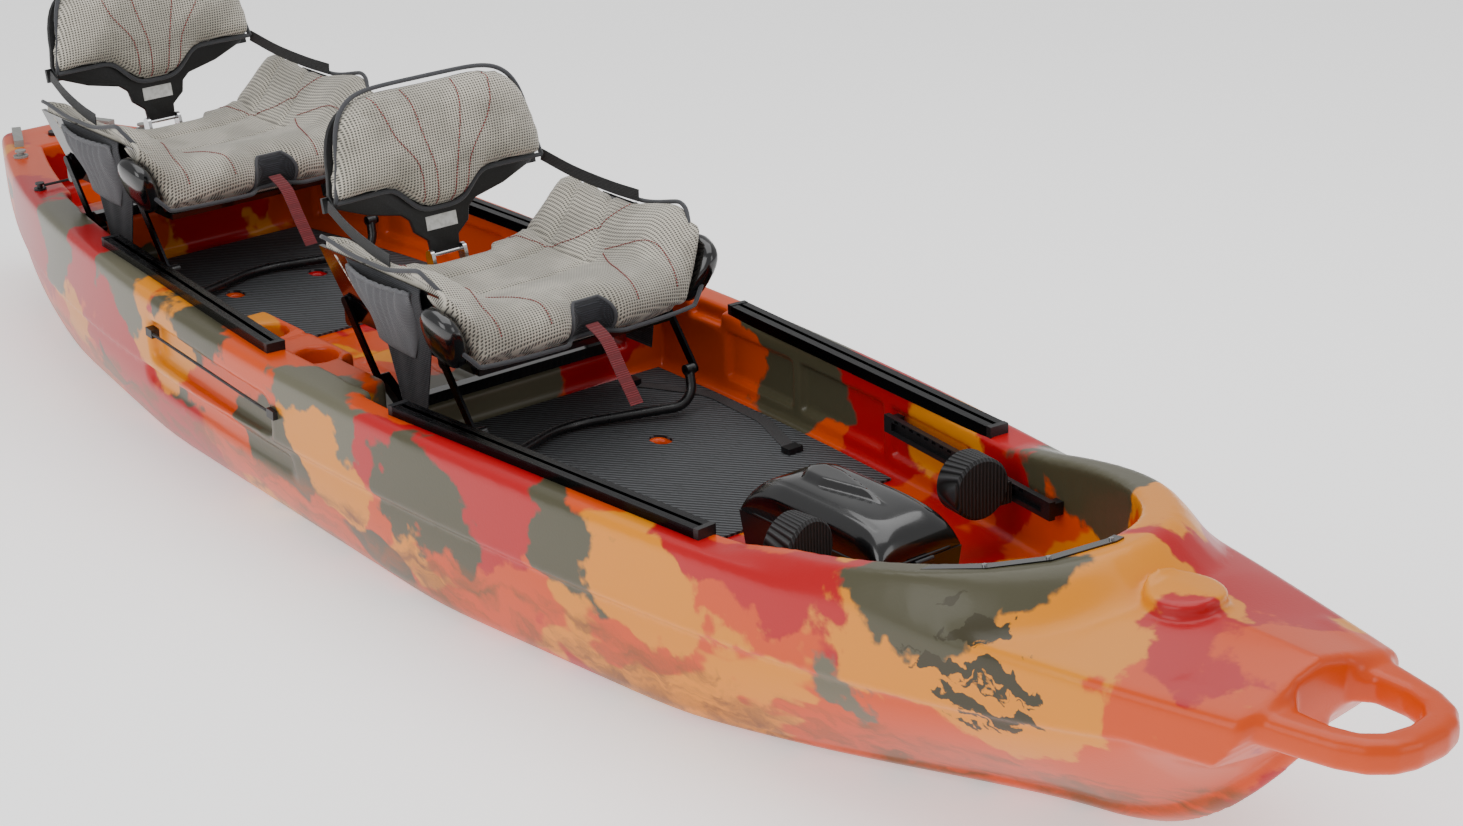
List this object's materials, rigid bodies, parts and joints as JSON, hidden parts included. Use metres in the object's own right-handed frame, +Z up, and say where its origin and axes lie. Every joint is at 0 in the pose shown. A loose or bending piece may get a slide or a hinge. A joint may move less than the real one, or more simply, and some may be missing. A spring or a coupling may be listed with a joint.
{
  "type": "tandem fishing kayak",
  "caption": "Tandem sit-on-top fishing kayak: hollow moulded hull, two lift-up mesh seats on swinging links, gear tracks, sliding foot braces, lidded pod and keel wheel.",
  "frame": {"origin": "on the ground under the middle of the hull, centre of the bounding box in plan", "axes": "+X to the bow, +Y to port, +Z up"},
  "size_m": [4.32, 0.9374, 0.8755],
  "materials": {
    "black_fabric": "black woven side fabric",
    "black_plastic": "moulded black plastic, satin",
    "black_webbing": "black webbing",
    "bracket_chrome": "spring bracket, bright",
    "bungee": "black braided shock cord",
    "gloss_black": "glossy black moulding",
    "hull_pe": "rotomoulded polyethylene, camouflage blend of orange, yellow, red and olive",
    "link_alloy": "bright alloy",
    "mat_foam": "ribbed closed-cell foam mat",
    "pedal_rubber": "ribbed rubber tread",
    "pouch_fabric": "grey gathered pouch fabric",
    "red_webbing": "dark red webbing",
    "screw_steel": "stainless steel",
    "seat_mesh": "warm grey spacer mesh",
    "track_aluminium": "black anodised extrusion",
    "tube_black": "black powder-coated tube",
    "tyre_rubber": "solid rubber tyre"
  },
  "bodies": {
    "hull": {"bow_trim_plate": "gloss_black", "bungee_ties": "black_plastic", "console_pad": "mat_foam", "deck_screws": "screw_steel", "drain_plug": "black_plastic", "floor_mat_front": "mat_foam", "floor_mat_rear": "mat_foam", "floor_strap": "black_webbing", "floor_strap_clips": "black_plastic", "foot_rail_left": "black_plastic", "foot_rail_right": "black_plastic", "front_seat_base_bar": "tube_black", "front_seat_crossbar": "gloss_black", "gear_track_front_left": "track_aluminium", "gear_track_front_right": "track_aluminium", "gear_track_rear_left": "track_aluminium", "gear_track_rear_right": "track_aluminium", "hull": "hull_pe", "keel_wheel_axle": "screw_steel", "pod_base": "black_plastic", "pod_latches": "black_plastic", "pod_toggle": "black_plastic", "rear_seat_base_bar": "tube_black", "rear_seat_crossbar": "gloss_black", "side_bungee_anchors": "black_plastic", "side_bungees": "bungee", "stern_cleats": "black_plastic", "stern_grips": "black_plastic", "tank_bungee": "bungee", "track_end_caps": "black_plastic"},
    "front_front_links": {"front_seat_front_links": "link_alloy"},
    "front_rear_links": {"front_seat_rear_links": "link_alloy"},
    "front_seat": {"front_seat_pan": "gloss_black", "front_seat_cushion": "seat_mesh", "front_seat_recline_bracket": "bracket_chrome", "front_seat_side_wings": "black_fabric", "front_seat_side_pouches": "pouch_fabric", "front_seat_pull_strap": "red_webbing", "front_seat_back_straps": "black_webbing"},
    "front_backrest": {"front_seat_back_board": "black_plastic", "front_seat_back_cushion": "seat_mesh", "front_seat_strap_buckles": "black_plastic"},
    "rear_front_links": {"rear_seat_front_links": "link_alloy"},
    "rear_rear_links": {"rear_seat_rear_links": "link_alloy"},
    "rear_seat": {"rear_seat_pan": "gloss_black", "rear_seat_cushion": "seat_mesh", "rear_seat_recline_bracket": "bracket_chrome", "rear_seat_side_wings": "black_fabric", "rear_seat_side_pouches": "pouch_fabric", "rear_seat_pull_strap": "red_webbing", "rear_seat_back_straps": "black_webbing"},
    "rear_backrest": {"rear_seat_back_board": "black_plastic", "rear_seat_back_cushion": "seat_mesh", "rear_seat_strap_buckles": "black_plastic"},
    "left_pedal": {"foot_pedal_left": "pedal_rubber"},
    "right_pedal": {"foot_pedal_right": "pedal_rubber"},
    "pod_lid": {"pod_cover": "black_plastic"},
    "keel_wheel": {"keel_wheel_tyre": "tyre_rubber", "keel_wheel_hub": "black_plastic"}
  },
  "joints": [
    {"name": "front_seat_lift", "type": "hinge", "parent": "hull", "child": "front_front_links", "pos_m": [0.125, 0, 0.3], "axis": [0, 1, 0], "range_deg": [-22, 0], "deforming": ["front_seat_side_wings"]},
    {"name": "front_seat_level", "type": "hinge", "parent": "front_front_links", "child": "front_seat", "pos_m": [0.02, 0, 0.435], "axis": [0, 1, 0], "range_deg": [0, 22]},
    {"name": "front_rear_link_swing", "type": "hinge", "parent": "hull", "child": "front_rear_links", "pos_m": [-0.2, 0, 0.318], "axis": [0, 1, 0], "range_deg": [-22, 0]},
    {"name": "front_back_fold", "type": "hinge", "parent": "front_seat", "child": "front_backrest", "pos_m": [-0.335, 0, 0.486], "axis": [0, 1, 0], "range_deg": [0, 35], "deforming": ["front_seat_back_straps"]},
    {"name": "rear_seat_lift", "type": "hinge", "parent": "hull", "child": "rear_front_links", "pos_m": [-1.022, 0, 0.335], "axis": [0, 1, 0], "range_deg": [-13, 0], "deforming": ["rear_seat_side_wings"]},
    {"name": "rear_seat_level", "type": "hinge", "parent": "rear_front_links", "child": "rear_seat", "pos_m": [-1.127, 0, 0.47], "axis": [0, 1, 0], "range_deg": [0, 13]},
    {"name": "rear_rear_link_swing", "type": "hinge", "parent": "hull", "child": "rear_rear_links", "pos_m": [-1.347, 0, 0.353], "axis": [0, 1, 0], "range_deg": [-13, 0]},
    {"name": "rear_back_fold", "type": "hinge", "parent": "rear_seat", "child": "rear_backrest", "pos_m": [-1.482, 0, 0.521], "axis": [0, 1, 0], "range_deg": [0, 35], "deforming": ["rear_seat_back_straps"]},
    {"name": "left_pedal_slide", "type": "slide", "parent": "hull", "child": "left_pedal", "axis": [0.9912, -0.132, 0], "range_m": [-0.28, 0.09]},
    {"name": "right_pedal_slide", "type": "slide", "parent": "hull", "child": "right_pedal", "axis": [0.9912, 0.132, 0], "range_m": [-0.28, 0.09]},
    {"name": "pod_lid_hinge", "type": "hinge", "parent": "hull", "child": "pod_lid", "pos_m": [1.078, 0, 0.284], "axis": [0, 1, 0], "range_deg": [0, 95]},
    {"name": "keel_wheel_spin", "type": "hinge", "parent": "hull", "child": "keel_wheel", "pos_m": [-1.905, 0, 0.066], "axis": [0, 1, 0], "continuous": true}
  ],
  "couplings": [
    {"joint": "front_seat_level", "follows": "front_seat_lift", "ratio": -1},
    {"joint": "front_rear_link_swing", "follows": "front_seat_lift", "ratio": 1},
    {"joint": "rear_seat_level", "follows": "rear_seat_lift", "ratio": -1},
    {"joint": "rear_rear_link_swing", "follows": "rear_seat_lift", "ratio": 1}
  ]
}
